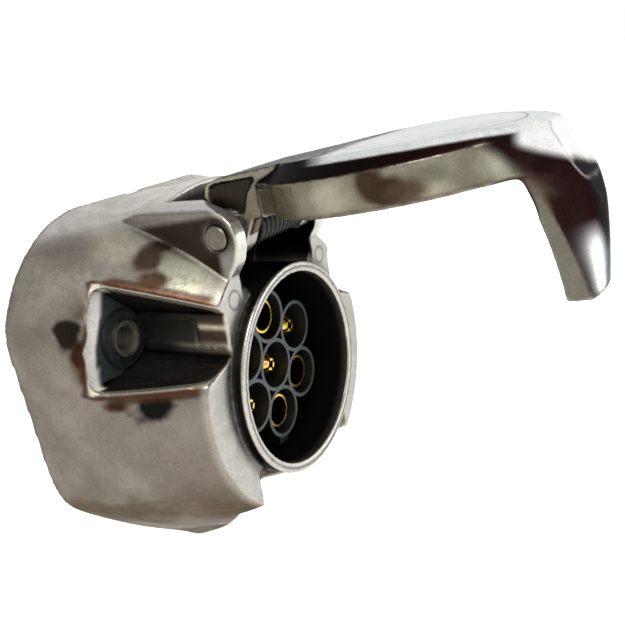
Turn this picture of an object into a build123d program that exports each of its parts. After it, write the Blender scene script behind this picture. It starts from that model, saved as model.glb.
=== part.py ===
from build123d import *
from math import cos, sin, pi, sqrt, radians, atan2, degrees
import os

os.makedirs("parts", exist_ok=True)

# Seven-pole trailer socket: cast housing with a raised round collar, a black
# seven-cavity insert, a sprung lid on a cross pin, and a finger lip on the lid.
# Frame: mounting plane is Y = 0, collar axis is Y, the socket mouth faces -Y, +Z up.

# ---- main sizes (mm) ----
RIM = -40.6            # front edge of the collar
FACE = -37.9           # flat front face behind the collar rim
COLLAR_R = 24.3        # collar outside
BORE_R = 22.0          # collar inside
HY, HZ = -36.06, 35.0  # hinge pin axis
PIN_R = 2.6
EAR_X = 18.6           # outer side of the hinge ears
EAR_Y = -41.1          # front of the hinge ears
NOTCH_X = 14.6         # half width of the slot between the ears
NOTCH_Y = -22.3        # rear wall of the slot
LID_OPEN = 5.2         # lid rises this many degrees above level when open
HOLE_R = 2.75          # mounting holes
BOLT_R = 32.33         # three holes on this radius: 56 mm triangle
BOLTS = [(-28.0, 16.17), (28.0, 16.17), (0.0, -32.33)]
SEAT_Y = -14.0         # bolt seat faces


def save(shape, name, color=None):
    shape.label = name
    export_step(shape, f"parts/{name}.step")


def xz(y):
    """Plane at this Y whose local x is X and local y is Z, normal towards -Y."""
    return Plane(origin=(0, y, 0), x_dir=(1, 0, 0), z_dir=(0, -1, 0))


def disc(r, y0, y1, cx=0.0, cz=0.0):
    """Cylinder along Y from y0 back to y1."""
    with BuildPart() as p:
        with BuildSketch(xz(y0)):
            with Locations((cx, cz)):
                Circle(r)
        extrude(amount=-(y1 - y0))
    return p.part


def prism(points, y0, y1, round_r=0.0):
    """Closed outline in X, Z carried along Y from y0 back to y1."""
    with BuildPart() as p:
        with BuildSketch(xz(y0)) as s:
            with BuildLine():
                Polyline(*points, close=True)
            make_face()
            if round_r > 0:
                fillet(s.vertices(), round_r)
        extrude(amount=-(y1 - y0))
    return p.part


def box(x0, x1, y0, y1, z0, z1):
    with BuildPart() as p:
        with Locations(((x0 + x1) / 2, (y0 + y1) / 2, (z0 + z1) / 2)):
            Box(x1 - x0, y1 - y0, z1 - z0)
    return p.part


# ---- outlines of the cast shell, right half from the top, mirrored ----
REAR = [(0, 44.6), (9, 44.9), (16, 44.5), (22, 43.2), (28.8, 41.3), (34.4, 38.0), (39.3, 33.6),
        (42.6, 29.0), (45.2, 24.0), (45.8, 17.5), (45.2, 8.0), (44.5, -3.0), (43.6, -12.5),
        (41.6, -18.4), (36.3, -24.3), (26.2, -33.0), (15, -41.6), (6.5, -48.0), (0, -51.8)]


# matched angles: each rear point is paired with a point on the front circle
def front_for(p):
    a = atan2(p[1], p[0])
    if p[0] == 0:
        a = pi / 2 if p[1] > 0 else -pi / 2
    return (32.2 * cos(a), 32.2 * sin(a))


FRONT = [front_for(p) for p in REAR]


def mirrored(pts):
    left = [(-x, z) for x, z in reversed(pts) if abs(x) > 1e-6]
    return pts + left


def blend(f, out, inset=0.0):
    r = []
    for (fx, fz), (rx, rz) in zip(FRONT, REAR):
        x = fx + (rx - fx) * f
        z = fz + (rz - fz) * f
        d = sqrt(x * x + z * z)
        # the bulge is full on the flanks, slight on the crown and the keel
        share = 1 - 0.88 * max(0.0, z / d) ** 3 - 0.45 * max(0.0, -z / d) ** 3
        k = (d + out * share - inset) / d
        r.append((x * k if abs(x) > 1e-6 else 0.0, z * k))
    return mirrored(r)


def section(y, pts):
    with BuildSketch(xz(y)) as s:
        with BuildLine():
            Spline(*pts, periodic=True)
        make_face()
    return s


def shell_loft(y_front, y_rear, inset):
    """Smooth shell from the round front to the shield-shaped rear."""
    span = 0.0 - FACE

    def f_at(y):
        return (y - FACE) / span
    faces = []
    for y in (y_front, (y_front + y_rear) / 2, y_rear):
        f = f_at(y)
        bulge = 1.7 * 4 * f * (1 - f)
        faces.append(section(y, blend(f, bulge, inset)).sketch.faces()[0])
    with BuildPart() as p:
        loft(sections=faces)
    return p.part



# ---------------------------------------------------------------- housing
outer = shell_loft(FACE, 0.0, 0.0)

# crown block that carries the hinge ears, front edge rounded
with BuildPart() as crown_b:
    with BuildSketch(xz(EAR_Y)):
        with BuildLine():
            Polyline((-EAR_X, 16), (-EAR_X, 40.1), (-16.9, 41.9), (-12.5, 43.1), (-6, 44.25), (0, 44.6),
                     (6, 44.25), (12.5, 43.1), (16.9, 41.9), (EAR_X, 40.1), (EAR_X, 16), close=True)
        make_face()
    extrude(amount=-(-4.0 - EAR_Y))
    # rounded nose of each ear as seen from the side
    with BuildSketch(Plane.YZ.offset(-EAR_X - 1)):
        with BuildLine():
            Polyline((EAR_Y - 1, 46), (EAR_Y - 1, 10), (FACE, 10), (FACE, 26.5), (EAR_Y + 0.9, 29.6), (EAR_Y, 32.5),
                     (EAR_Y, 35.6), (EAR_Y + 0.7, 37.7), (EAR_Y + 2.2, 39.3), (EAR_Y + 4.6, 40.6), (EAR_Y + 8.5, 42.3),
                     (EAR_Y + 13, 44.2), (EAR_Y + 15, 46), close=True)
        make_face()
    extrude(amount=2 * EAR_X + 2, mode=Mode.SUBTRACT)
crown = crown_b.part

# bolt pockets: open to the front and to the side of the shell
POCKET = [(22.3, 11.0), (22.3, 20.6), (33.6, 29.6), (37.4, 24.0), (40.0, 17.4), (40.9, 8.8), (30.7, 8.6), (24.2, 10.2)]


def pocket(sign, grow=0.0, depth=SEAT_Y):
    cx, cz = 31.0, 17.5
    pts = []
    for x, z in POCKET:
        d = sqrt((x - cx) ** 2 + (z - cz) ** 2)
        k = (d + grow) / d
        pts.append((sign * (cx + (x - cx) * k), cz + (z - cz) * k))
    if sign < 0:
        pts = pts[::-1]
    return prism(pts, RIM - 2, depth, 1.6)


# hollow behind the front wall, around the socket tube, the pockets and the bolt bosses
with BuildPart() as hollow_b:
    add(shell_loft(-29.0, 1.0, 4.0))
    add(disc(COLLAR_R, -41, -13.0), mode=Mode.SUBTRACT)
    add(pocket(-1, 3.0, SEAT_Y + 3.0), mode=Mode.SUBTRACT)
    add(pocket(1, 3.0, SEAT_Y + 3.0), mode=Mode.SUBTRACT)
    for bx, bz in BOLTS:
        add(disc(7.2, -20, 2, bx, bz), mode=Mode.SUBTRACT)
    add(box(-14.2, 14.2, -45, -9.6, -60, -20), mode=Mode.SUBTRACT)
    add(box(-17.8, 17.8, -45, NOTCH_Y + 3.0, 20, 60), mode=Mode.SUBTRACT)
hollow = hollow_b.part

with BuildPart() as housing_b:
    add(outer)
    add(crown)
    # slot between the ears, rounded at the bottom, stops at the collar tube
    add(prism([(-NOTCH_X, 60), (-NOTCH_X, 25.5), (-12.6, 22.6), (-9.5, 18), (9.5, 18), (12.6, 22.6),
               (NOTCH_X, 25.5), (NOTCH_X, 60)], RIM - 2, NOTCH_Y), mode=Mode.SUBTRACT)
    add(pocket(-1), mode=Mode.SUBTRACT)
    add(pocket(1), mode=Mode.SUBTRACT)
    # front of the underside slopes back between the lower ends of the face
    with BuildSketch(Plane.YZ.offset(-20)):
        with BuildLine():
            Polyline((RIM - 2, -16.8), (FACE + 0.4, -16.8), (-26.6, -30.4), (-23.8, -34.0), (-20.1, -38.5), (-15.7, -42.3),
                     (-11.3, -45.6), (-6.9, -48.5), (-2.4, -51.2), (0, -52.6), (0, -60), (RIM - 2, -60), close=True)
        make_face()
    extrude(amount=40, mode=Mode.SUBTRACT)
    # channel under the collar for the lid lip
    add(box(-11.2, 11.2, RIM - 2, -12.5, -60, -10), mode=Mode.SUBTRACT)
    add(hollow, mode=Mode.SUBTRACT)
    # seat of the collar tube
    add(disc(COLLAR_R, RIM - 1, -13.0), mode=Mode.SUBTRACT)
    # holes: mounting, hinge pin, insert screws
    for bx, bz in BOLTS:
        add(disc(3.8, -20, 2, bx, bz), mode=Mode.SUBTRACT)
    for bx, bz in BOLTS[:2]:
        add(disc(6.35, -30, SEAT_Y, bx, bz), mode=Mode.SUBTRACT)
    with BuildSketch(Plane.YZ.offset(-30)):
        with Locations((HY, HZ)):
            Circle(PIN_R)
    extrude(amount=60, mode=Mode.SUBTRACT)
    for x0 in (-EAR_X - 1, EAR_X - 0.6):
        with BuildSketch(Plane.YZ.offset(x0)):
            with Locations((HY, HZ)):
                Circle(3.15)
        extrude(amount=1.6, mode=Mode.SUBTRACT)
    # shallow ejector marks on the face beside the ears
    for sx in (-1, 1):
        with BuildSketch(xz(FACE)):
            with Locations((sx * 18.1, 21.9)):
                Circle(2.1)
                Circle(1.8, mode=Mode.SUBTRACT)
        extrude(amount=-0.2, mode=Mode.SUBTRACT)
housing = housing_b.part
save(housing, "housing")

# collar tube with its shoulder for the insert, one casting with the housing
with BuildPart() as tube:
    add(disc(COLLAR_R, RIM, -13.0))
    chamfer(tube.edges().filter_by(GeomType.CIRCLE).group_by(Axis.Y)[0], 0.25)
    with BuildSketch(xz(RIM)):
        Circle(BORE_R)
    extrude(amount=-(-17.0 - RIM), mode=Mode.SUBTRACT)
    with BuildSketch(xz(-18)):
        Circle(18.6)
    extrude(amount=-19, mode=Mode.SUBTRACT)
    # fine groove round the collar edge
    with BuildSketch(xz(RIM)):
        Circle(23.35)
        Circle(23.0, mode=Mode.SUBTRACT)
    extrude(amount=-0.35, mode=Mode.SUBTRACT)
    for sx in (-1, 1):
        add(disc(1.25, -18, -10, sx * 20.3, 0), mode=Mode.SUBTRACT)
save(tube.part, "collar_tube")

# ---------------------------------------------------------------- mounting bushes
for name, (bx, bz), seat in (("mount_bush_left", BOLTS[0], SEAT_Y), ("mount_bush_right", BOLTS[1], SEAT_Y),
                             ("mount_bush_bottom", BOLTS[2], -12.5)):
    with BuildPart() as bush:
        add(disc(6.2, seat - 1.0, seat, bx, bz))
        add(disc(3.9, seat - 1.7, seat - 1.0, bx, bz))
        add(disc(3.8, seat, 0.0, bx, bz))
        add(disc(HOLE_R, seat - 3, 1, bx, bz), mode=Mode.SUBTRACT)
        add(disc(3.3, seat - 3, seat - 1.1, bx, bz), mode=Mode.SUBTRACT)
    save(bush.part, name)

# ---------------------------------------------------------------- insert and contacts
INS_Y = -32.76          # front of the insert
RP = 12.02              # contact circle
CAV_R = 5.43
ANG = {"1": 150, "2": 90, "3": 30, "4": -30, "5": -90, "6": 210, "7": None}
SLEEVES = ("2", "4", "5")


def centre(k):
    a = ANG[k]
    if a is None:
        return (0.0, 0.0)
    return (RP * cos(radians(a)), RP * sin(radians(a)))


with BuildPart() as insert:
    for k in ANG:
        add(disc(CAV_R + 0.82, INS_Y, -21.0, *centre(k)))
    # polarising key below the lowest cavity
    add(box(-1.75, 1.75, INS_Y + 1.2, -21.0, -20.2, -17.0))
    add(disc(21.9, -22.0, -17.0))
    add(disc(17.6, -17.0, -13.5))
    for k in ANG:
        add(disc(CAV_R, INS_Y - 1, -19.5, *centre(k)), mode=Mode.SUBTRACT)
        add(disc(2.0, -20, -12, *centre(k)), mode=Mode.SUBTRACT)
    for sx in (-1, 1):
        add(disc(1.25, -20, -16, sx * 20.3, 0), mode=Mode.SUBTRACT)
print("insert solids", len(insert.part.solids()))
save(insert.part, "contact_insert")

for k in ANG:
    cx, cz = centre(k)
    a = radians(ANG[k]) if ANG[k] is not None else radians(60)
    dx, dz = cos(a), sin(a)
    with BuildPart() as c:
        if k in SLEEVES:
            add(disc(3.95, -31.2, -19.5, cx, cz))
            add(disc(3.35, -32, -21.0, cx, cz), mode=Mode.SUBTRACT)
        else:
            add(disc(2.75, -29.6, -19.5, cx, cz))
            # domed, cross-slotted tip
            with BuildSketch(Plane(origin=(cx, -29.6, cz), x_dir=(1, 0, 0), z_dir=(0, -1, 0))):
                Circle(2.75)
            extrude(amount=1.7, taper=38)
            add(disc(0.75, -33, -24, cx, cz), mode=Mode.SUBTRACT)
            for ang in (20, 110):
                with BuildPart(mode=Mode.PRIVATE) as slot:
                    with Locations((0, 0, 0)):
                        Box(7, 9, 0.6)
                cut = slot.part.rotate(Axis.Y, -ang).moved(Location((cx, -28.5, cz)))
                add(cut, mode=Mode.SUBTRACT)
        add(disc(2.0, -19.6, -13.4, cx, cz))
        add(disc(3.1, -13.4, -4.5, cx, cz))
        # wire bore and clamp screw hole
        add(disc(1.7, -11.5, -4, cx, cz), mode=Mode.SUBTRACT)
        with BuildSketch(Plane(origin=(cx, -8.0, cz), x_dir=(0, 1, 0), z_dir=(dx, 0, dz))):
            Circle(1.2)
        extrude(amount=5, mode=Mode.SUBTRACT)
    save(c.part, ("sleeve_contact_" if k in SLEEVES else "pin_contact_") + k)
    with BuildPart() as t:
        with BuildSketch(Plane(origin=(cx + 1.0 * dx, -8.0, cz + 1.0 * dz), x_dir=(0, 1, 0), z_dir=(dx, 0, dz))):
            Circle(1.19)
        extrude(amount=2.2)
        with BuildSketch(Plane(origin=(cx + 3.15 * dx, -8.0, cz + 3.15 * dz), x_dir=(0, 1, 0), z_dir=(dx, 0, dz))):
            Circle(1.9)
        extrude(amount=1.2)
        with BuildSketch(Plane(origin=(cx + 3.95 * dx, -8.0, cz + 3.95 * dz), x_dir=(0, 1, 0), z_dir=(dx, 0, dz))):
            Rectangle(4.5, 0.5)
        extrude(amount=1.2, mode=Mode.SUBTRACT)
    save(t.part, "terminal_screw_" + k)

for name, sx in (("insert_screw_left", -1), ("insert_screw_right", 1)):
    with BuildPart() as sc:
        add(disc(1.23, -19.6, -12.9, sx * 20.3, 0))
        add(disc(2.1, -12.95, -11.4, sx * 20.3, 0))
        add(box(sx * 20.3 - 2.5, sx * 20.3 + 2.5, -12.0, -11, -0.3, 0.3), mode=Mode.SUBTRACT)
    save(sc.part, name)

# ---------------------------------------------------------------- hinge pin and spring
with BuildPart() as pin:
    with BuildSketch(Plane.YZ.offset(-EAR_X)):
        with Locations((HY, HZ)):
            Circle(PIN_R)
    extrude(amount=2 * EAR_X)
    chamfer(pin.edges().filter_by(GeomType.CIRCLE), 0.3)
save(pin.part, "hinge_pin")

with BuildPart() as spring:
    with BuildLine() as hl:
        Helix(pitch=1.75, height=15.75, radius=3.75)
    with BuildSketch(Plane(origin=hl.line @ 0, z_dir=hl.line % 0)):
        Circle(0.65)
    sweep(is_frenet=True)
coil = spring.part.rotate(Axis.Y, 90).moved(Location((-7.875, HY, HZ)))
with BuildPart() as spring_b:
    add(coil)
print("spring", spring_b.part.bounding_box(), len(spring_b.part.solids()))
save(spring_b.part, "lid_spring")

# ---------------------------------------------------------------- lid
# Drawn with the hinge axis at the origin: u runs from the hinge towards the lip (-Y),
# w is the outward side of the lid (+Z); then tipped up and put on the hinge.
SK_R = 27.0            # lid skirt outside
SK_IN = 24.9           # lid skirt inside
U0 = HZ                # lid disc centre sits on the collar axis when shut
W_B = 2.15             # lower edge of the skirt
W_S = 9.0              # top of the upright skirt


def lid_place(part):
    return part.rotate(Axis.X, -LID_OPEN).moved(Location((0, HY, HZ)))


def plan(w, arm, knee, mid, knee2, prow, nose):
    """Plan of the lid at height w: arm end, straight flank, side arc, prow arc; mirrored."""
    with BuildSketch(Plane.XY.offset(w)) as sk:
        with BuildLine():
            for s in (1, -1):
                p = [(s * x, -u) for x, u in (arm, knee, mid, knee2, prow)]
                Line(p[0], p[1])
                ThreePointArc(p[1], p[2], p[3])
                ThreePointArc(p[3], p[4], (0, -nose))
            Line((arm[0], -arm[1]), (-arm[0], -arm[1]))
        make_face()
    return sk.sketch.faces()[0]


KX, KU = SK_R * cos(radians(50)), SK_R * sin(radians(50))


def lip_face(w, a, ui, uc, uf):
    """Flat inside, flat sides, bowed outside."""
    with BuildSketch(Plane.XY.offset(w)) as sk:
        with BuildLine():
            Line((-a, -ui), (a, -ui))
            Line((a, -ui), (a, -uc))
            ThreePointArc((a, -uc), (0, -uf), (-a, -uc))
            Line((-a, -uc), (-a, -ui))
        make_face()
    return sk.sketch.faces()[0]


with BuildPart() as lid:
    # skirt, shoulder, top pad and prow in one skin
    loft(sections=[plan(W_B, (13.8, 8.9), (KX, U0 - KU), (SK_R, U0), (KX, U0 + KU), (12.1, 64.9), 72.1),
                   plan(W_S, (13.7, 9.0), (KX, U0 - KU), (SK_R, U0), (KX, U0 + KU), (11.2, 62.4), 67.4),
                   plan(12.4, (6.0, 12.4), (14.8, 18.0), (21.2, 36.0), (14.8, 53.2), (8.4, 60.2), 64.6)], ruled=True)
    loft(sections=[lip_face(W_B + 0.9, 13.0, 60.4, 61.6, 71.4), lip_face(-8.2, 10.2, 63.0, 66.0, 71.6),
                   lip_face(-21.3, 8.2, 64.5, 68.9, 70.1)])
    # hinge arm
    with BuildSketch(Plane.YZ.offset(-13.9)):
        with BuildLine():
            Polyline((4.8, 0), (4.6, 4.0), (3.9, 6.8), (3.7, 8.6), (3.0, 10.3), (1.6, 11.2), (0, 11.4), (-8, 11.65),
                     (-15, 11.9), (-15, W_B), (-7.0, W_B), (-4.6, -1.6), close=True)
        make_face()
    extrude(amount=27.8)
    with BuildSketch(Plane.YZ.offset(-13.9)):
        Circle(4.85)
    extrude(amount=27.8)
    # crowned top: lower at both ends than in the middle
    with BuildSketch(Plane.YZ.offset(-40)):
        with BuildLine():
            Polyline((10, 9.9), (3.4, 10.4), (0, 11.4), (-8, 11.65), (-16, 11.95), (-24, 12.15), (-34, 12.2), (-42, 12.05),
                     (-50, 11.7), (-57, 11.2), (-62, 10.6), (-65.4, 10.05), (-67, 9.5), (-90, 0), (-90, 30), (10, 30), close=True)
        make_face()
    extrude(amount=80, mode=Mode.SUBTRACT)
    # flat keel facet at the prow, from the crown down to the root of the lip
    with BuildSketch(Plane.YZ.offset(-20)):
        with BuildLine():
            Polyline((-65.2, 10.3), (-70.5, -0.6), (-71.8, -5.4), (-80, -5.4), (-80, 14), (-65.2, 14), close=True)
        make_face()
    extrude(amount=40, mode=Mode.SUBTRACT)
    # room for the spring between the cheeks
    with BuildSketch(Plane.YZ.offset(-9.9)):
        with BuildLine():
            Polyline((6, -6), (6, 5.9), (-9.2, 7.0), (-12.0, 7.0), (-12.0, -6), close=True)
        make_face()
    extrude(amount=19.8, mode=Mode.SUBTRACT)
    # shallow panel on the outer side of each cheek
    for x0, x1 in ((-15, -13.0), (13.0, 15)):
        with BuildSketch(Plane.YZ.offset(x0)):
            with BuildLine():
                Polyline((3.1, 4.6), (2.9, 8.2), (2.1, 9.9), (0.6, 10.4), (-9.8, 10.4), (-6.9, 7.4), (-4.9, 3.4), close=True)
            make_face()
        extrude(amount=x1 - x0, mode=Mode.SUBTRACT)
    # arched corner recess between arm and skirt
    for sx in (-1, 1):
        with BuildSketch(Plane.XY.offset(W_B - 1)):
            with Locations((sx * 17.6, -12.6)):
                Circle(4.2)
        extrude(amount=W_S - W_B, mode=Mode.SUBTRACT)
    # inside of the lid
    with BuildSketch(Plane.XY.offset(W_B - 4)):
        with Locations((0, -U0)):
            Circle(SK_IN)
    extrude(amount=4 + 7.0 - W_B, mode=Mode.SUBTRACT)
    # bore for the pin
    with BuildSketch(Plane.YZ.offset(-20)):
        Circle(PIN_R + 0.06)
    extrude(amount=40, mode=Mode.SUBTRACT)
    # seal screw hole
    with BuildSketch(Plane.XY.offset(W_B)):
        with Locations((0, -U0)):
            Circle(1.45)
    extrude(amount=7.8, mode=Mode.SUBTRACT)
print("lid solids", len(lid.part.solids()), [round(x.volume) for x in lid.part.solids()])
save(lid_place(lid.part), "lid")

with BuildPart() as seal:
    with BuildSketch(Plane.XY.offset(4.85)):
        with Locations((0, -U0)):
            Circle(24.5)
            Circle(1.45, mode=Mode.SUBTRACT)
    extrude(amount=2.15)
save(lid_place(seal.part), "lid_seal")

with BuildPart() as ret:
    with BuildSketch(Plane.XY.offset(3.65)):
        with Locations((0, -U0)):
            Circle(14.0)
            Circle(1.45, mode=Mode.SUBTRACT)
    extrude(amount=1.2)
    fillet(ret.edges().filter_by(GeomType.CIRCLE).group_by(Axis.Z)[0].sort_by(SortBy.RADIUS)[-1:], 0.5)
save(lid_place(ret.part), "seal_retainer")

with BuildPart() as rs:
    with BuildSketch(Plane.XY.offset(1.95)):
        with Locations((0, -U0)):
            Circle(3.0)
    extrude(amount=1.7)
    with BuildSketch(Plane.XY.offset(3.6)):
        with Locations((0, -U0)):
            Circle(1.43)
    extrude(amount=5.9)
    with BuildSketch(Plane.XY.offset(1.9)):
        with Locations((0, -U0)):
            Rectangle(4.2, 0.7)
            Rectangle(0.7, 4.2)
    extrude(amount=0.9, mode=Mode.SUBTRACT)
save(lid_place(rs.part), "retainer_screw")
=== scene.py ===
"""Seven-pole trailer socket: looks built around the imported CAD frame."""
import math

import bpy
import bmesh
import numpy as np
from mathutils import Matrix, Vector


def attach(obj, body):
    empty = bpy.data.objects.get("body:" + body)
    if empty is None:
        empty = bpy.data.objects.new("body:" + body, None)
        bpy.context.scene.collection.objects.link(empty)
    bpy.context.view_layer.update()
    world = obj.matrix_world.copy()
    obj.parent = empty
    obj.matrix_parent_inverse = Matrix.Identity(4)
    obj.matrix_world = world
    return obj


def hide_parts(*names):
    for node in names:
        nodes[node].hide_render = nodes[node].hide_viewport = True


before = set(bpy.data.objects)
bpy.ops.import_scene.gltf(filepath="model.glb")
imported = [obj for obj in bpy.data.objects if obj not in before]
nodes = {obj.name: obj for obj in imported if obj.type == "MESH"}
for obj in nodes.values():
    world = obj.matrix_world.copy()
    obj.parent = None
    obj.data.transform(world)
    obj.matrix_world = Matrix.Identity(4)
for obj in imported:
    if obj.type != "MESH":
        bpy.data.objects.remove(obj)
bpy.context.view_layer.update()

# ------------------------------------------------------------------ camera
CAM_AZ, CAM_EL, CAM_ROLL = -58.12, 16.91, -8.42      # degrees
CAM_DIST = 0.18161                                   # to the collar rim centre, along the view
CAM_OFF = (-0.00182, -0.01248)                       # where the rim centre sits off the view axis
RIM = Vector((0.0, -0.0406, 0.0))
SENSOR = 36.0                                        # mm
LENS = 1.259728 * SENSOR                             # the focal length is 1.26 picture widths


def camera():
    a, e, r = (math.radians(v) for v in (CAM_AZ, CAM_EL, CAM_ROLL))
    back = Vector((math.sin(a) * math.cos(e), -math.cos(a) * math.cos(e), math.sin(e)))
    right = Vector((0, 0, 1)).cross(back).normalized()
    up = back.cross(right)
    right2 = right * math.cos(r) + up * math.sin(r)
    up2 = up * math.cos(r) - right * math.sin(r)
    loc = RIM - right2 * CAM_OFF[0] - up2 * CAM_OFF[1] + back * CAM_DIST
    cam = bpy.data.cameras.new("Cam")
    cam.lens = LENS
    cam.sensor_width = SENSOR
    cam.clip_start = 0.005
    ob = bpy.data.objects.new("Cam", cam)
    bpy.context.scene.collection.objects.link(ob)
    m = Matrix((right2, up2, back)).transposed().to_4x4()
    m.translation = loc
    ob.matrix_world = m
    bpy.context.scene.camera = ob


camera()
bpy.context.scene.view_settings.view_transform = "Standard"


# ------------------------------------------------------------------ number helpers
def lin(rgb):
    """sRGB 0-255 to linear 0-1."""
    c = np.asarray(rgb, float) / 255.0
    return np.where(c <= 0.04045, c / 12.92, ((c + 0.055) / 1.055) ** 2.4)


def ss(a, b, v):
    """Smooth step from 0 at a to 1 at b."""
    t = np.clip((v - a) / (b - a), 0, 1)
    return t * t * (3 - 2 * t)


HASH, WORD = 1274126177, 0xFFFFFFFF


def vnoise(p, scale, seed=0):
    """Smooth lattice noise 0-1 at points p (mm)."""
    q = p / scale + seed * 7.31
    i = np.floor(q).astype(np.int64)
    f = q - i
    f = f * f * (3 - 2 * f)

    def h(dx, dy, dz):
        n = (i[:, 0] + dx) * 374761393 + (i[:, 1] + dy) * 668265263 + (i[:, 2] + dz) * 974634777
        n = (n + seed * HASH) & WORD
        n = ((n ^ (n >> 13)) * HASH) & WORD
        return ((n ^ (n >> 16)) & 0xFFFF) / 65535.0

    fx, fy, fz = f[:, 0], f[:, 1], f[:, 2]
    a = h(0, 0, 0) * (1 - fx) + h(1, 0, 0) * fx
    b = h(0, 1, 0) * (1 - fx) + h(1, 1, 0) * fx
    c = h(0, 0, 1) * (1 - fx) + h(1, 0, 1) * fx
    d = h(0, 1, 1) * (1 - fx) + h(1, 1, 1) * fx
    return (a * (1 - fy) + b * fy) * (1 - fz) + (c * (1 - fy) + d * fy) * fz


def cloud(p, scale, seed=0):
    """Three octaves of the lattice noise, 0-1."""
    return (0.55 * vnoise(p, scale, seed) + 0.3 * vnoise(p, scale / 2.1, seed + 1)
            + 0.15 * vnoise(p, scale / 4.3, seed + 2))


def blob(p, centre, radii, soft=0.35, wobble=0.45, seed=3):
    """1 inside an uneven patch round centre, falling to 0 outside."""
    d = (p - np.asarray(centre)) / np.asarray(radii)
    r = np.sqrt((d * d).sum(1)) + wobble * (cloud(p, 5.0, seed) - 0.5) * 2
    return 1 - ss(1 - soft, 1 + soft, r)


# ------------------------------------------------------------------ mesh helpers
def cast_mesh(name, parts, voxel, smooth):
    """The named CAD nodes as one skin with softened, cast-looking edges."""
    bm = bmesh.new()
    for n in parts:
        bm.from_mesh(nodes[n].data)
    bmesh.ops.remove_doubles(bm, verts=bm.verts, dist=1e-7)
    me = bpy.data.meshes.new(name + "_src")
    bm.to_mesh(me)
    bm.free()
    ob = bpy.data.objects.new(name, me)
    bpy.context.scene.collection.objects.link(ob)
    m = ob.modifiers.new("skin", "REMESH")
    m.mode = "VOXEL"
    m.voxel_size = voxel
    s = ob.modifiers.new("soft", "SMOOTH")
    s.factor = 0.5
    s.iterations = smooth
    dg = bpy.context.evaluated_depsgraph_get()
    made = bpy.data.meshes.new_from_object(ob.evaluated_get(dg))
    ob.modifiers.clear()
    ob.data = made
    made.name = name
    bpy.data.meshes.remove(me)
    made.materials.clear()
    for p in made.polygons:
        p.use_smooth = True
    return ob


def points(me):
    n = len(me.vertices)
    co = np.empty(n * 3, np.float32)
    no = np.empty(n * 3, np.float32)
    me.vertices.foreach_get("co", co)
    me.vertices.foreach_get("normal", no)
    return co.reshape(-1, 3).astype(float) * 1000.0, no.reshape(-1, 3).astype(float)


def neighbour_mean(me, count):
    """A function that gives, for a value per vertex, the mean over each vertex's neighbours."""
    e = np.empty(len(me.edges) * 2, np.int32)
    me.edges.foreach_get("vertices", e)
    a, b = e[0::2], e[1::2]
    links = np.maximum(np.bincount(a, minlength=count) + np.bincount(b, minlength=count), 1)

    def mean(v):
        return (np.bincount(a, v[b], minlength=count) + np.bincount(b, v[a], minlength=count)) / links

    return mean


def bend_of(me, p, n, passes=3):
    """How convex (+) or hollow (-) the skin is at each vertex, in mm."""
    mean = neighbour_mean(me, len(p))
    lap = np.stack([mean(p[:, k]) for k in range(3)], 1) - p
    c = -(lap * n).sum(1)
    for _ in range(passes):
        c = 0.4 * c + 0.6 * mean(c)
    return c


def put(me, name, kind, values):
    at = me.attributes.get(name) or me.attributes.new(name, kind, "POINT")
    if kind == "FLOAT_COLOR":
        v = np.ones((len(values), 4), np.float32)
        v[:, :3] = values
        at.data.foreach_set("color", v.ravel())
    else:
        at.data.foreach_set("value", np.asarray(values, np.float32))


def move(me, p):
    """Writes vertex places back, from mm to metres."""
    me.vertices.foreach_set("co", (p / 1000.0).astype(np.float32).ravel())
    me.update()


def relax(me, weight, rounds):
    """Rounds the skin off where weight (0-1 per vertex) says so."""
    p, _ = points(me)
    mean = neighbour_mean(me, len(p))
    w = weight[:, None] * 0.6
    for _ in range(rounds):
        m = np.stack([mean(p[:, k]) for k in range(3)], 1)
        p = p + (m - p) * w
    move(me, p)


class Tone:
    """Colour, roughness and metal share per vertex, built up in layers."""

    def __init__(self, n, rgb, rough):
        self.c = np.tile(lin(rgb), (n, 1))
        self.r = np.full(n, float(rough))
        self.m = np.full(n, 0.9)

    def lay(self, mask, rgb, rough=None, share=1.0, metal=None):
        m = np.clip(mask * share, 0, 1)
        self.c = self.c * (1 - m[:, None]) + lin(rgb)[None, :] * m[:, None]
        if rough is not None:
            self.r = self.r * (1 - m) + rough * m
        if metal is not None:
            self.m = self.m * (1 - m) + metal * m

    def patches(self, where, p, table):
        """Lays a row of uneven patches: centre, radii, (soft, wobble), colour, roughness, share."""
        for centre, radii, (soft, wobble), rgb, rough, share in table:
            self.lay(where * blob(p, centre, radii, soft, wobble), rgb, rough, share)

    def finish(self, me):
        put(me, "tone", "FLOAT_COLOR", np.clip(self.c * (0.56 + 0.46 * self.c), 0, 1))
        put(me, "gloss", "FLOAT", self.r)
        put(me, "plate", "FLOAT", self.m)
        me.materials.append(CAST)


# ------------------------------------------------------------------ node materials
def new_mat(name):
    m = bpy.data.materials.new(name)
    m.use_nodes = True
    t = m.node_tree
    t.nodes.clear()
    out = t.nodes.new("ShaderNodeOutputMaterial")
    b = t.nodes.new("ShaderNodeBsdfPrincipled")
    t.links.new(b.outputs[0], out.inputs[0])
    return m, t, b


def object_coords(t):
    """The material's one coordinate node, made on first use."""
    co = t.nodes.get("co")
    if co is None:
        co = t.nodes.new("ShaderNodeTexCoord")
        co.name = "co"
    return co.outputs["Object"]


def noise(t, scale, detail=3.0, rough=0.55):
    n = t.nodes.new("ShaderNodeTexNoise")
    n.inputs["Scale"].default_value = scale
    n.inputs["Detail"].default_value = detail
    n.inputs["Roughness"].default_value = rough
    t.links.new(object_coords(t), n.inputs["Vector"])
    return n.outputs["Fac"]


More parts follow.
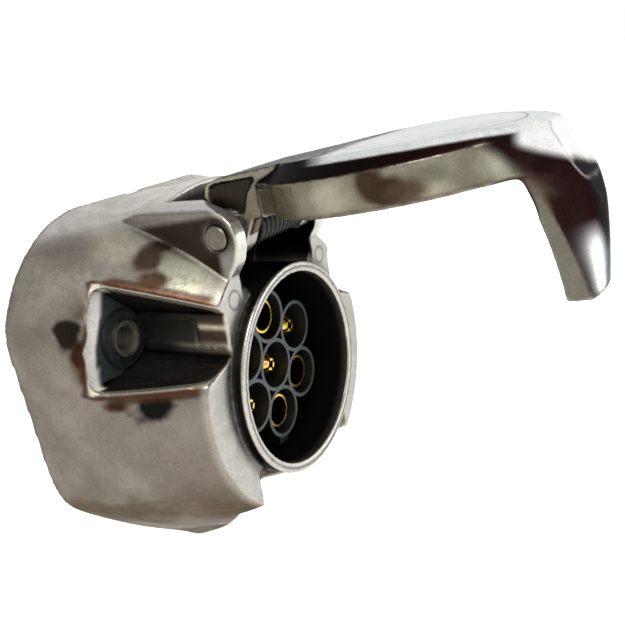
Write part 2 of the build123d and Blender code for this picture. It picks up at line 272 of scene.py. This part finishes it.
def span(t, src, lo, hi, a=0.0, b=1.0):
    r = t.nodes.new("ShaderNodeMapRange")
    r.inputs["From Min"].default_value = a
    r.inputs["From Max"].default_value = b
    r.inputs["To Min"].default_value = lo
    r.inputs["To Max"].default_value = hi
    t.links.new(src, r.inputs["Value"])
    return r.outputs["Result"]


def math_node(t, op, a, b=None):
    m = t.nodes.new("ShaderNodeMath")
    m.operation = op
    for k, v in enumerate((a, b)):
        if v is None:
            continue
        if isinstance(v, (int, float)):
            m.inputs[k].default_value = v
        else:
            t.links.new(v, m.inputs[k])
    return m.outputs[0]


def tint(t, colour, factor):
    """colour times a grey factor."""
    v = t.nodes.new("ShaderNodeVectorMath")
    v.operation = "SCALE"
    t.links.new(colour, v.inputs[0])
    t.links.new(factor, v.inputs["Scale"])
    return v.outputs[0]


def bump(t, b, height, strength, distance):
    n = t.nodes.new("ShaderNodeBump")
    n.inputs["Strength"].default_value = strength
    n.inputs["Distance"].default_value = distance
    t.links.new(height, n.inputs["Height"])
    t.links.new(n.outputs[0], b.inputs["Normal"])


def attribute(t, name, socket):
    n = t.nodes.new("ShaderNodeAttribute")
    n.attribute_name = name
    return n.outputs[socket]


def cast_metal():
    """Worn cast metal; colour, roughness and metal share come from the skin's own attributes, whose colour
    also carries painted shade, painted highlights and painted reflections.
    """
    m, t, b = new_mat("cast_metal_skin")
    tone = attribute(t, "tone", "Color")
    big = span(t, noise(t, 110, 4), 0.90, 1.10, 0.3, 0.7)
    mid = span(t, noise(t, 480, 4), 0.93, 1.07, 0.3, 0.7)
    fine = span(t, noise(t, 3600, 2), 0.84, 1.16, 0.3, 0.7)
    f = math_node(t, "MULTIPLY", math_node(t, "MULTIPLY", big, mid), fine)
    t.links.new(tint(t, tone, f), b.inputs["Base Color"])
    t.links.new(tint(t, tone, math_node(t, "MULTIPLY", f, 1.9)), b.inputs["Specular Tint"])
    rn = span(t, noise(t, 700, 3), -0.07, 0.09, 0.3, 0.7)
    t.links.new(math_node(t, "ADD", attribute(t, "gloss", "Fac"), rn), b.inputs["Roughness"])
    t.links.new(attribute(t, "plate", "Fac"), b.inputs["Metallic"])
    h = math_node(t, "ADD", math_node(t, "MULTIPLY", noise(t, 3200, 2), 0.35), noise(t, 420, 3))
    bump(t, b, h, 0.22, 0.00018)
    return m


def plain_metal(name, rgb, rough, metallic=1.0, grain=900, depth=0.0001, spread=0.14):
    m, t, b = new_mat(name)
    base = t.nodes.new("ShaderNodeRGB")
    base.outputs[0].default_value = (*lin(rgb), 1)
    f = math_node(t, "MULTIPLY", span(t, noise(t, grain, 4), 1 - spread, 1 + spread, 0.3, 0.7),
                  span(t, noise(t, grain / 4, 3), 1 - spread, 1 + spread, 0.3, 0.7))
    t.links.new(tint(t, base.outputs[0], f), b.inputs["Base Color"])
    gloss = span(t, noise(t, grain * 1.3, 3), max(0.04, rough - 0.08), rough + 0.1, 0.3, 0.7)
    t.links.new(gloss, b.inputs["Roughness"])
    b.inputs["Metallic"].default_value = metallic
    bump(t, b, noise(t, grain * 2, 3), 0.2, depth)
    return m


def axis_radius(t, cx, cz):
    """Distance from an axis along Y through (cx, cz), in metres."""
    v = t.nodes.new("ShaderNodeVectorMath")
    v.operation = "MULTIPLY_ADD"
    v.inputs[1].default_value = (1, 0, 1)
    v.inputs[2].default_value = (-cx, 0, -cz)
    t.links.new(object_coords(t), v.inputs[0])
    d = t.nodes.new("ShaderNodeVectorMath")
    d.operation = "LENGTH"
    t.links.new(v.outputs[0], d.inputs[0])
    return d.outputs["Value"]


def mix(t, fac, a, b):
    n = t.nodes.new("ShaderNodeMix")
    n.data_type = "RGBA"
    t.links.new(fac, n.inputs["Factor"])
    for k, v in ((6, a), (7, b)):
        if isinstance(v, (tuple, list, np.ndarray)):
            n.inputs[k].default_value = (*lin(v), 1)
        else:
            t.links.new(v, n.inputs[k])
    return n.outputs[2]


def coord(t, axis):
    s = t.nodes.new("ShaderNodeSeparateXYZ")
    t.links.new(object_coords(t), s.inputs[0])
    return s.outputs[axis]


def assign(names, mat):
    for n in names:
        me = nodes[n].data
        me.materials.clear()
        me.materials.append(mat)


# ------------------------------------------------------------------ the casting
CAST = cast_metal()
HY, HZ, TILT = -36.06, 35.0, math.radians(5.2)       # hinge axis (mm) and the lid's tilt at rest
FRONT_Y = -37.9                                      # front wall of the shell
# outlines seen from the front, x and z in mm: bolt pocket, then the shell's rear edge
POCKET = [(22.3, 11.0), (22.3, 20.6), (33.6, 29.6), (37.4, 24.0), (40.0, 17.4), (40.9, 8.8),
          (30.7, 8.6), (24.2, 10.2)]
REAR = [(0, 44.6), (9, 44.9), (16, 44.5), (22, 43.2), (28.8, 41.3), (34.4, 38.0), (39.3, 33.6), (42.6, 29.0),
        (45.2, 24.0), (45.8, 17.5), (45.2, 8.0), (44.5, -3.0), (43.6, -12.5), (41.6, -18.4), (36.3, -24.3),
        (26.2, -33.0), (15, -41.6), (6.5, -48.0), (0, -51.8)]


def polygon_distance(px, pz, poly):
    """Distance to a closed outline; negative inside."""
    best = np.full(len(px), 1e9)
    inside = np.zeros(len(px), bool)
    for k in range(len(poly)):
        (ax, az), (bx, bz) = poly[k], poly[(k + 1) % len(poly)]
        dx, dz = bx - ax, bz - az
        s = np.clip(((px - ax) * dx + (pz - az) * dz) / (dx * dx + dz * dz), 0, 1)
        best = np.minimum(best, np.hypot(px - ax - s * dx, pz - az - s * dz))
        cross = ((az > pz) != (bz > pz)) & (px < (bx - ax) * (pz - az) / (bz - az + 1e-12) + ax)
        inside ^= cross
    return np.where(inside, -best, best)


def skin_depth(p):
    """How far a point lies below the outer skin of the shell, in mm."""
    x, y, z = np.abs(p[:, 0]), p[:, 1], p[:, 2]
    ang = np.arctan2(z, x)
    ra = np.array([math.atan2(b, a) for a, b in REAR])[::-1]
    rr = np.array([math.hypot(a, b) for a, b in REAR])[::-1]
    f = np.clip((y - FRONT_Y) / -FRONT_Y, 0, 1)
    sn = np.sin(ang)
    share = 1 - 0.88 * np.maximum(0, sn) ** 3 - 0.45 * np.maximum(0, -sn) ** 3
    reach = 32.2 * (1 - f) + np.interp(ang, ra, rr) * f + 6.8 * f * (1 - f) * share
    return reach - np.hypot(x, z)


def pocket_out(p):
    """Distance to the mouth of either pocket seen from the front; negative inside it."""
    return polygon_distance(np.abs(p[:, 0]), p[:, 2], POCKET)


def shape_housing(me):
    """Rounds the pocket's mouth and the rear edge, and lowers the crown towards the rear."""
    p, _ = points(me)
    x, y, z = np.abs(p[:, 0]), p[:, 1], p[:, 2]
    off = np.abs(pocket_out(p))
    relax(me, ss(2.0, 0.6, off) * ss(3.0, 1.6, skin_depth(p)) * ss(-12.5, -13.5, y), 14)
    relax(me, ss(3.4, 1.4, off) * ss(-19.0, -17.5, y) * ss(-12.9, -13.4, y) * ss(33, 35, x), 40)
    relax(me, ss(-1.6, -0.6, y), 5)
    p, _ = points(me)
    p[:, 2] -= 1.5 * ss(36.0, 41.0, p[:, 2]) * ss(23.0, 13.0, np.abs(p[:, 0])) * ss(-18.0, -10.0, p[:, 1])
    move(me, p)


# patches on the left half, mirrored on the right: centre and radii in mm, (soft, wobble), sRGB colour,
# roughness or None to leave it, share
LIGHT_PATCHES = [
    ((-25.0, -16.0, 35.5), (5, 7, 4.5), (0.6, 0.45), (182, 178, 163), None, 0.85),
    ((-23.5, -30.5, 28.5), (6, 7.5, 4.2), (0.5, 0.45), (186, 184, 166), 0.26, 1.0),
    ((-31.0, -6.0, 36.0), (6, 7, 5), (0.7, 0.45), (124, 116, 107), None, 0.6),
]
# darker patches: stains on the crown, and dark patches along and below the pocket's outer edge
DARK_PATCHES = [
    ((-24.2, -22.4, 32.6), (3.8, 2.9, 3.9), (0.3, 0.45), (88, 73, 60), 0.26, 1.0),
    ((-27.3, -25.4, 28.8), (3.2, 4.2, 2.0), (0.35, 0.45), (92, 72, 56), 0.26, 1.0),
    ((-20.2, -24.2, 34.2), (2.6, 4.2, 1.2), (0.4, 0.45), (78, 62, 49), None, 1.0),
    ((-41.0, -15.4, 14.6), (4, 2.4, 4.4), (0.5, 0.45), (92, 64, 44), None, 0.85),
    ((-40.6, -12.4, 21.4), (4, 2.6, 3.9), (0.22, 0.9), (48, 41, 34), 0.3, 1.0),
    ((-40.8, -14.9, 17.4), (4, 2.1, 2.9), (0.3, 0.45), (58, 40, 28), 0.3, 1.0),
    ((-36.8, -27.2, 5.1), (4, 5.6, 2.6), (0.3, 0.8), (28, 28, 26), 0.3, 1.0),
    ((-39.2, -20.6, 6.2), (4, 3.0, 1.4), (0.4, 0.45), (66, 46, 32), 0.3, 1.0),
]


def paint_housing(me):
    """Lays the colours of the body and collar by place, in mm, with painted shade in the hollows and painted
    highlights on lit faces and edges.
    """
    shape_housing(me)
    p, n = points(me)
    x, y, z = np.abs(p[:, 0]), p[:, 1], p[:, 2]
    q = p.copy()
    q[:, 0] = -x
    r = np.hypot(p[:, 0], z)
    nx, ny, nz = np.abs(n[:, 0]) * np.sign(n[:, 0] * p[:, 0] + 1e-9), n[:, 1], n[:, 2]
    bend = bend_of(me, p, n)
    t = Tone(len(p), (146, 140, 132), 0.34)
    cl = cloud(p, 14, 5)
    t.lay(ss(0.45, 0.7, cl), (164, 159, 149), share=0.5)
    t.lay(ss(0.55, 0.3, cl), (124, 115, 104), share=0.6)
    # painted shade: darker towards the bottom at the front
    t.lay(ss(4.0, -8.0, z) * ss(-20, -30, y), (128, 119, 109), share=0.85)
    # crown, painted paler on its up-facing top and on the top between the ears as a painted highlight, and
    # light patches between the ear and the pocket
    t.lay(ss(36.5, 40.0, z + 1.5 * (cl - 0.5)) * ss(0.35, 0.7, nz), (206, 204, 200), 0.3)
    t.lay(ss(-14, -26, y) * ss(37.5, 39.5, z) * ss(17, 12, x), (222, 220, 216), 0.3)
    t.patches(1, q, LIGHT_PATCHES + DARK_PATCHES)
    # ear sides
    ear = ss(17.6, 18.2, x) * ss(0.6, 0.9, nx) * ss(23, 25, z) * ss(-11, -16, y)
    t.lay(ear, (66, 58, 49), 0.44)
    t.lay(ear * ss(31.5, 29.0, z + 0.25 * (y + 30)), (54, 42, 32), 0.34)
    t.lay(ear * ss(38.2, 39.8, z + 0.1 * (y + 30)), (150, 145, 136))
    # copper and bright edges along the pocket mouth
    po = pocket_out(q)
    sk = skin_depth(p)
    on_skin = ss(1.7, 0.9, sk)
    wob = 0.8 * (cloud(p, 3, 8) - 0.5)
    outward = x + 0.35 * (z - 17)
    pw = (po + wob) * (1 + 1.6 * ss(35.5, 38.5, outward))
    t.lay(on_skin * ss(2.9, 1.7, pw), (70, 47, 34), 0.3, share=0.85)
    t.lay(on_skin * ss(1.6, 1.0, pw) * ss(0.3, 0.7, pw), (104, 70, 51), 0.26, share=0.7)
    # inside the pocket, where the hollow is painted near black as painted shade
    inside = ss(0.3, -0.25, po) * ss(-12.9, -13.4, y) * ss(22.0, 22.2, x) * ss(0.5, 1.3, sk)
    edge = ss(0.75, 0.25, np.abs(po + 0.15)) * ss(2.4, 1.4, sk) * ss(-13.2, -13.8, y)
    t.lay(inside, (20, 21, 21), 0.3)
    pocket_floor = inside * ss(-0.6, -0.9, ny) * ss(-17.0, -15.4, y)
    t.lay(pocket_floor, (74, 82, 80), 0.4, metal=0.35)
    # painted highlight: a near-white, non-metal strip along the pocket's rounded outer margin
    rib_highlight = ss(-16.8, -16.2, y) * ss(-12.8, -13.4, y) * ss(33.4, 35.2, outward)
    rib_highlight = rib_highlight * ss(-5.0, -3.8, po + 0.3 * wob + 0.12 * (z - 17)) * ss(0.4, 0.0, po)
    t.lay(rib_highlight, (226, 224, 218), 0.25, metal=0.0)
    # painted shade: the pocket's inner wall painted near black
    wall = inside * ss(24.9, 24.0, x) * ss(-17.0, -19.0, y)
    t.lay(wall, (22, 19, 16), 0.4)
    t.lay(wall * ss(-25, -33, y) * ss(19.4, 18.4, z) * ss(11.4, 12.4, z), (104, 80, 62), 0.3, share=0.9)
    # painted highlights: two pale streaks along the pocket wall
    for zc, wide in ((17.3, 0.6), (13.2, 0.8)):
        highlight_streak = np.exp(-(((z - zc) / wide) ** 2)) * ss(-23, -29, y + 0.8 * (zc - 16))
        t.lay(wall * highlight_streak, (246, 240, 222), 0.2)
    roof = inside * ss(-0.3, -0.6, nz)
    t.lay(roof * ss(3.6, 2.0, sk), (150, 138, 124), 0.26, share=0.9, metal=0.4)
    ledge = inside * ss(0.3, 0.6, nz)
    t.lay(ledge * ss(2.2, 1.2, sk), (160, 150, 136), 0.26, share=0.8, metal=0.5)
    t.lay(edge, (202, 194, 180), 0.22, share=0.85)
    # front face, collar and slot, with painted shade round the collar, on the collar's outer wall, in the
    # bore and in the slot
    face = ss(-0.75, -0.95, ny) * ss(-36.9, -37.6, y) * ss(24.2, 24.8, r)
    t.lay(face, (184, 182, 177), 0.34)
    # painted shade: the face darkens towards the collar
    t.lay(face * ss(28.0, 25.0, r), (112, 112, 108), share=0.75)
    front_edge = ss(31.0, 32.0, r) * ss(-35.6, -37.4, y) * (1 - face) * ss(-2.0, 4.0, 34 - z)
    t.lay(front_edge, (176, 172, 163), 0.3, share=0.7)
    # painted shade: the collar's outer wall behind the rim painted dark
    tube = ss(25.0, 24.6, r) * ss(23.9, 24.1, r) * ss(-40.4, -39.9, y)
    t.lay(tube, (46, 45, 40), 0.3)
    rim = ss(-39.9, -40.4, y) * ss(24.9, 24.5, r) * ss(21.6, 21.9, r)
    t.lay(rim, (190, 190, 188), 0.3)
    t.lay(rim * ss(0.28, 0.1, np.abs(r - 23.2)), (104, 104, 100), 0.4)
    mark = ss(0.3, 0.12, np.abs(np.hypot(x - 18.1, z - 21.9) - 1.95)) * ss(-37.2, -37.7, y)
    t.lay(mark, (110, 108, 102), share=0.85)
    # painted shade: the bore painted dark inside, paler towards its mouth
    bore = ss(22.35, 22.1, r) * ss(-40.4, -39.6, y)
    t.lay(bore, (44, 46, 43), 0.42)
    t.lay(bore * ss(-37.5, -39.8, y), (120, 120, 114), 0.4)
    # painted shade: the slot above the collar painted near black
    slot = ss(15.4, 14.8, x) * ss(24.2, 24.6, r) * ss(-40.7, -39.6, y) * ss(-21.6, -22.6, y) * ss(20, 24, z)
    t.lay(slot * ss(43.5, 41.5, z), (12, 13, 12), 0.4)
    # painted highlight: the ears' front faces painted pale
    ear_front_highlight = ss(14.2, 14.7, x) * ss(18.9, 18.4, x) * ss(24, 27, z) * ss(-37.6, -38.6, y)
    t.lay(ear_front_highlight * ss(-0.25, -0.6, ny + 0.2 * nz), (206, 204, 198), 0.28)
    # hidden rear and channel
    rear = ss(-1.2, -0.2, y)
    t.lay(rear, (120, 116, 108), 0.5, share=0.7)
    deep = ss(2.5, 4.0, sk) * ss(-29.5, -28.5, y) * ss(24.6, 25.0, r) * (1 - inside) * (1 - slot)
    t.lay(deep * (1 - ear), (70, 68, 63), 0.55)
    # lighter on convex edges, darker in hollow corners
    t.lay(ss(0.010, 0.035, bend) * (1 - inside * 0.4) * (1 - slot), (204, 198, 186), 0.22, share=0.75)
    t.lay(ss(-0.008, -0.035, bend), (40, 36, 32), 0.45, share=0.7)
    t.finish(me)


body = cast_mesh("housing_skin", ["housing", "collar_tube"], 0.00036, 7)
paint_housing(body.data)
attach(body, "socket")
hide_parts("housing", "collar_tube")


def lid_axes(y, z):
    """Turns Y and Z into the lid's own axes: u out along the lid, w up through it."""
    c, s = math.cos(TILT), math.sin(TILT)
    return -(y * c - z * s), y * s + z * c


# the same columns, with centres in the lid's own axes: x, u, w
SKIRT_STAINS = [
    ((22, 23.0, 5.2), (5, 8.0, 3.2), (0.6, 0.45), (158, 153, 132), None, 0.6),
    ((26, 49.6, 3.6), (6, 3.0, 2.0), (0.6, 0.45), (176, 172, 152), None, 0.8),
    ((21, 59.5, 6.2), (9, 3.2, 3.6), (0.6, 0.45), (196, 194, 178), None, 0.85),
    ((24.6, 33.0, 5.6), (4, 3.6, 3.8), (0.6, 0.45), (184, 180, 160), None, 0.8),
    ((24.8, 40.2, 7.4), (5, 2.2, 3.0), (0.35, 0.45), (74, 60, 46), None, 1.0),
    ((25.8, 42.8, 5.0), (5, 2.7, 2.2), (0.35, 0.45), (70, 56, 44), None, 1.0),
    ((26.6, 46.4, 4.4), (5, 2.8, 1.8), (0.5, 0.45), (92, 74, 58), None, 0.9),
    ((26, 53.0, 6.4), (5, 3.4, 2.3), (0.4, 0.45), (112, 113, 101), None, 1.0),
]
# height w of the lid's crown along u
CROWN_U = [-4, 0, 8, 16, 24, 34, 42, 50, 57, 62, 65.4, 67]
CROWN_W = [10.2, 11.4, 11.65, 11.95, 12.15, 12.2, 12.05, 11.7, 11.2, 10.6, 10.05, 9.5]


def paint_lid(me):
    """Softens the root of the finger lip and lays the lid's colours by place, in its own axes, with painted
    reflections and painted highlights on the shoulder, pad, prow and lip.
    """
    p, _ = points(me)
    u, w = lid_axes(p[:, 1] - HY, p[:, 2] - HZ)
    relax(me, ss(57, 60, u) * ss(-6.0, -2.5, w) * ss(6.5, 3.5, w), 45)
    p, n = points(me)
    x, sx = np.abs(p[:, 0]), -p[:, 0]
    u, w = lid_axes(p[:, 1] - HY, p[:, 2] - HZ)
    nu, nw = lid_axes(n[:, 1], n[:, 2])
    bend = bend_of(me, p, n)
    l = np.stack([x, u, w], 1)
    t = Tone(len(p), (138, 133, 117), 0.32)
    cl = cloud(l, 9, 11)
    t.lay(ss(0.5, 0.75, cl), (172, 168, 154), share=0.6)
    t.lay(ss(0.5, 0.25, cl), (116, 110, 94), share=0.5)
    # skirt stains
    side = ss(0.5, 0.2, nw)
    t.patches(side, l, SKIRT_STAINS)
    # painted reflection: a dark maroon band along the skirt's lower edge
    t.lay(side * ss(3.3, 2.5, w + 0.5 * (cl - 0.5)) * ss(20, 30, u), (86, 66, 58), share=0.7)
    # painted reflection: the shoulder and prow painted dark maroon, mottled
    shoulder = ss(0.25, 0.5, nw) * ss(8.3, 9.2, w + 0.1 * (x - 20))
    far = ss(58.0, 61.4, u + 0.9 * (w - 5.5) + 1.4 * (cl - 0.5))
    dark = np.maximum(shoulder, far * ss(-0.4, 0.15, nu))
    t.lay(dark, (46, 29, 28), 0.2)
    t.lay(dark * ss(0.5, 0.75, cloud(l, 6, 21)), (72, 50, 48), share=0.6)
    # painted reflection: the flat pad painted near white, with a grey ring round it
    drop = np.interp(u, CROWN_U, CROWN_W) - w
    start = ss(21.0, 29.0, u + 4.0 * (cloud(l * [1.3, 0.5, 1], 4, 31) - 0.5) - 0.16 * x)
    flat = ss(0.93, 0.985, nw)
    pad_reflection = np.maximum(flat * ss(9.6, 10.2, w), ss(1.35, 0.95, drop) * ss(0.35, 0.6, nw)) * start
    t.lay(pad_reflection, (226, 229, 228), 0.34)
    ov = np.abs(np.hypot(x / 17.6, (u - 42.5) / 17.2) - 1) * 17.4
    t.lay(pad_reflection * (1 - ss(0.12, 0.38, ov)), (168, 170, 168), share=0.9)
    # keel facet at the prow and the facet beside it: painted highlights near white, with a painted dark
    # maroon reflection on the keel's lower part
    plane = u - (65.2 + (10.3 - w) * 0.486)
    keel_reflection = ss(-0.55, -0.2, plane) * ss(-1.5, 0.5, w) * ss(0.35, 0.55, nu) * ss(62, 64.5, u)
    wb = np.interp(x, [0, 5, 8, 14, 18], [-1.0, -0.2, 4.0, 8.2, 10.2])
    facet_highlight = ss(-1.2, 1.2, w - wb + 1.4 * (cl - 0.5)) * ss(60.2, 62.6, u + 1.2 * (cl - 0.5))
    facet_highlight = facet_highlight * (1 - flat) * (1 - keel_reflection)
    t.lay(facet_highlight * ss(-0.5, 0.3, sx), (252, 252, 250), 0.2)
    t.lay(facet_highlight * ss(0.5, -0.5, sx), (226, 227, 225), 0.24)
    t.lay(keel_reflection, (240, 241, 239), 0.24)
    t.lay(keel_reflection * ss(3.4, 0.4, w - 0.25 * sx + 1.2 * (cl - 0.5)), (48, 31, 30), 0.2)
    # finger lip: painted reflections on its outer face, dark maroon above, grey lower down and grey-blue
    # towards one side, with a painted highlight (glint); greyer at the bottom, and the side facet grey
    lip = ss(1.0, -3.0, w) * ss(57, 60, u)
    outer = lip * ss(0.15, 0.45, nu)
    t.lay(outer, (46, 29, 27), 0.2)
    lower = outer * ss(-8.0, -16.0, w)
    t.lay(lower, (58, 53, 50), 0.28, share=0.9)
    t.lay(lower * ss(4.0, 1.5, sx + 0.12 * w), (138, 145, 146), 0.28, share=0.9)
    glint = np.exp(-(((sx - 4.9 - 0.16 * (w + 16)) / 2.1) ** 2))
    t.lay(outer * ss(-7.0, -14.0, w) * glint, (252, 252, 251), 0.24)
    t.lay(outer * ss(-19.6, -21.6, w), (120, 120, 114), 0.3, share=0.85)
    t.lay(lip * (1 - ss(0.0, 0.3, nu)), (122, 118, 108), 0.36)
    # hinge arm panel and arch
    cheek = ss(13.6, 13.3, x) * ss(11.8, 13.0, x) * ss(13, 11, u)
    t.lay(cheek * ss(10.6, 10.1, w), (66, 60, 50), 0.4)
    arm_top = ss(0.5, 0.8, nw) * ss(22, 17, u)
    t.lay(arm_top * (w > 8), (60, 42, 40), 0.24)
    arch = ss(4.7, 4.3, np.hypot(x - 17.6, u - 12.6)) * ss(9.2, 8.9, w) * ss(0.5, 0.2, np.abs(nw))
    t.lay(arch, (84, 78, 64), 0.38)
    # painted highlight: a light band across the arch
    t.lay(arch * ss(1.0, 0.5, np.abs(u - 14.2)), (150, 146, 134), 0.3)
    # underside
    under = ss(-0.4, -0.8, nw) * ss(58, 55, u)
    t.lay(under * ss(3.2, 3.9, w), (58, 56, 52), 0.5)
    t.lay(under * ss(3.2, 2.6, w), (90, 84, 76), 0.4)
    t.lay(ss(5.1, 4.95, np.hypot(u, w)) * (x < 14.5), (190, 187, 180), 0.3, share=0.85)
    # lighter on convex edges, darker in hollow corners
    keep = 1 - pad_reflection * 0.8
    t.lay(ss(0.012, 0.04, bend) * keep, (190, 184, 172), 0.2, share=0.55)
    t.lay(ss(-0.008, -0.03, bend), (38, 34, 30), 0.45, share=0.6)
    t.finish(me)


lid = cast_mesh("lid_skin", ["lid"], 0.00032, 4)
paint_lid(lid.data)
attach(lid, "lid")
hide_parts("lid")

# ------------------------------------------------------------------ CAD pieces that stay
# insert: grey worn front edges, black cavities
m, t, b = new_mat("insert_plastic")
front = span(t, coord(t, 1), 1, 0, -0.03272, -0.03255)
fine = span(t, noise(t, 1500, 4), 0.75, 1.2, 0.3, 0.7)
t.links.new(tint(t, mix(t, front, (15, 17, 17), (54, 61, 63)), fine), b.inputs["Base Color"])
t.links.new(span(t, noise(t, 900, 3), 0.38, 0.55, 0.3, 0.7), b.inputs["Roughness"])
bump(t, b, noise(t, 2400, 3), 0.25, 0.00008)
assign(["contact_insert"], m)

# contacts: bright brass, with painted shade darkening the bore of a sleeve and the slot of a pin
CONTACT_R = 12.02e-3
ANGLES = {"1": 150, "2": 90, "3": 30, "4": -30, "5": -90, "6": 210, "7": None}
for k, ang in ANGLES.items():
    cx = cz = 0.0
    if ang is not None:
        cx, cz = CONTACT_R * math.cos(math.radians(ang)), CONTACT_R * math.sin(math.radians(ang))
    sleeve = k in "245"
    m, t, b = new_mat("contact_brass_" + k)
    rad = axis_radius(t, cx, cz)
    if sleeve:
        brass = mix(t, span(t, rad, 1, 0, 0.0034, 0.0036), (230, 190, 98), (120, 80, 34))
    else:
        brass = mix(t, span(t, rad, 1, 0, 0.0007, 0.0010), (226, 184, 92), (60, 36, 10))
    t.links.new(tint(t, brass, span(t, noise(t, 1200, 4), 0.82, 1.15, 0.3, 0.7)), b.inputs["Base Color"])
    t.links.new(span(t, noise(t, 2000, 3), 0.14, 0.3, 0.3, 0.7), b.inputs["Roughness"])
    b.inputs["Metallic"].default_value = 1.0
    bump(t, b, noise(t, 2600, 3), 0.15, 0.00005)
    assign([("sleeve_contact_" if sleeve else "pin_contact_") + k], m)

# bushes: dark grey-green washer, paler tube end
BUSHES = {"mount_bush_left": (-0.028, 0.01617), "mount_bush_right": (0.028, 0.01617),
          "mount_bush_bottom": (0.0, -0.03233)}
for name, (cx, cz) in BUSHES.items():
    m, t, b = new_mat(name + "_steel")
    ring = span(t, axis_radius(t, cx, cz), 1, 0, 0.0037, 0.0040)
    c = mix(t, ring, (62, 70, 70), (128, 124, 114))
    t.links.new(tint(t, c, span(t, noise(t, 1100, 5), 0.68, 1.3, 0.3, 0.7)), b.inputs["Base Color"])
    t.links.new(span(t, noise(t, 800, 3), 0.28, 0.5, 0.3, 0.7), b.inputs["Roughness"])
    b.inputs["Metallic"].default_value = 0.85
    bump(t, b, noise(t, 2000, 4), 0.3, 0.0001)
    assign([name], m)

assign(["hinge_pin"], plain_metal("pin_steel", (108, 102, 92), 0.36, grain=1400, spread=0.2))
# painted shade: the spring is painted near black and dull, standing for the shade between the arm's cheeks
assign(["lid_spring"], plain_metal("spring_steel", (12, 12, 11), 0.5, metallic=0.3))
assign(["seal_retainer"], plain_metal("retainer_plate", (128, 124, 114), 0.34))
assign(["retainer_screw", "insert_screw_left", "insert_screw_right"],
       plain_metal("fastener_steel", (150, 148, 142), 0.28))
assign(["terminal_screw_" + k for k in ANGLES], plain_metal("terminal_screw_brass", (190, 160, 96), 0.26))
assign(["lid_seal"], plain_metal("seal_rubber", (24, 25, 25), 0.62, metallic=0.0, grain=1600))


# ------------------------------------------------------------------ studio
def studio_world():
    world = bpy.data.worlds.new("Studio")
    bpy.context.scene.world = world
    world.use_nodes = True
    t = world.node_tree
    t.nodes.clear()
    out = t.nodes.new("ShaderNodeOutputWorld")
    bg = t.nodes.new("ShaderNodeBackground")
    t.links.new(bg.outputs[0], out.inputs[0])
    co = t.nodes.new("ShaderNodeTexCoord")
    sep = t.nodes.new("ShaderNodeSeparateXYZ")
    t.links.new(co.outputs["Generated"], sep.inputs[0])
    ramp = t.nodes.new("ShaderNodeValToRGB")
    r = ramp.color_ramp
    r.elements[0].position = 0.0
    r.elements[0].color = (1.0, 1.0, 1.0, 1)
    r.elements[1].position = 1.0
    r.elements[1].color = (0.85, 0.85, 0.86, 1)
    for pos, v in ((0.62, 1.0), (0.74, 0.86), (0.88, 0.80)):
        e = r.elements.new(pos)
        e.color = (v, v, v * 0.99, 1)
    t.links.new(span(t, sep.outputs[2], 0, 1, -1, 1), ramp.inputs[0])
    t.links.new(ramp.outputs[0], bg.inputs["Color"])
    bg.inputs["Strength"].default_value = 1.0


studio_world()


def area(name, loc, target, side, power):
    light = bpy.data.lights.new(name, "AREA")
    light.shape = "RECTANGLE"
    light.size = light.size_y = side
    light.energy = power
    ob = bpy.data.objects.new(name, light)
    bpy.context.scene.collection.objects.link(ob)
    ob.location = loc
    d = Vector(target) - Vector(loc)
    ob.rotation_euler = d.to_track_quat("-Z", "Y").to_euler()


area("Key", (-0.30, -0.30, 0.50), (0, -0.03, 0), 0.30, 2.2)
area("Fill", (0.45, -0.55, 0.10), (0, -0.04, 0), 0.5, 1.2)

# floor: clear of the object, lifted towards white so that it merges with the backdrop
FLOOR_Z, FLOOR_GLOW = -0.075, 0.42
bm = bmesh.new()
bmesh.ops.create_grid(bm, x_segments=8, y_segments=8, size=6.0)
me = bpy.data.meshes.new("floor")
bm.to_mesh(me)
bm.free()
floor = bpy.data.objects.new("floor", me)
floor.location = (0, 0, FLOOR_Z)
bpy.context.scene.collection.objects.link(floor)
m, t, b = new_mat("floor_white")
t.links.new(span(t, noise(t, 4, 2), 0.93, 0.96), b.inputs["Base Color"])
b.inputs["Roughness"].default_value = 0.9
b.inputs["Specular IOR Level"].default_value = 0.0
b.inputs["Emission Color"].default_value = (1, 1, 1, 1)
b.inputs["Emission Strength"].default_value = FLOOR_GLOW
me.materials.append(m)
